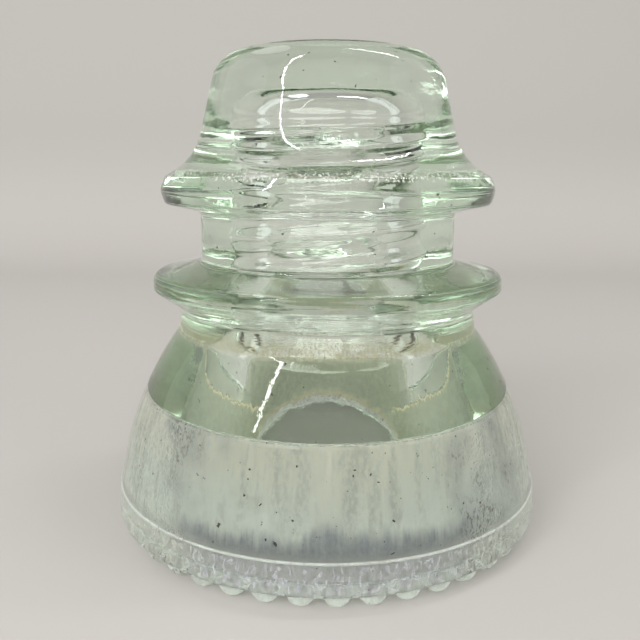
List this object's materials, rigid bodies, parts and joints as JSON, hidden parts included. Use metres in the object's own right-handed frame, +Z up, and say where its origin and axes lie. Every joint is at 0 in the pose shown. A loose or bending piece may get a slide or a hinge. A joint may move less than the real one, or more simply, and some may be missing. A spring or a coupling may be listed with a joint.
{
  "type": "glass pin insulator",
  "caption": "Bell-shaped moulded glass insulator with a domed crown, a ridged wire groove, a skirt on beaded drip points and a threaded blind pin hole.",
  "frame": {"origin": "on the axis, in the plane of the drip points' tips, on which it rests", "axes": "+Z up along the axis, from the skirt to the crown; X and Y are free, because the outside is round"},
  "size_m": [0.0888, 0.0888, 0.0965],
  "materials": {
    "glass_body": "clear, faintly green pressed glass with rain dirt on its skirt and in its grooves"
  },
  "bodies": {
    "root": {"glass_body": "glass_body"}
  },
  "joints": []
}
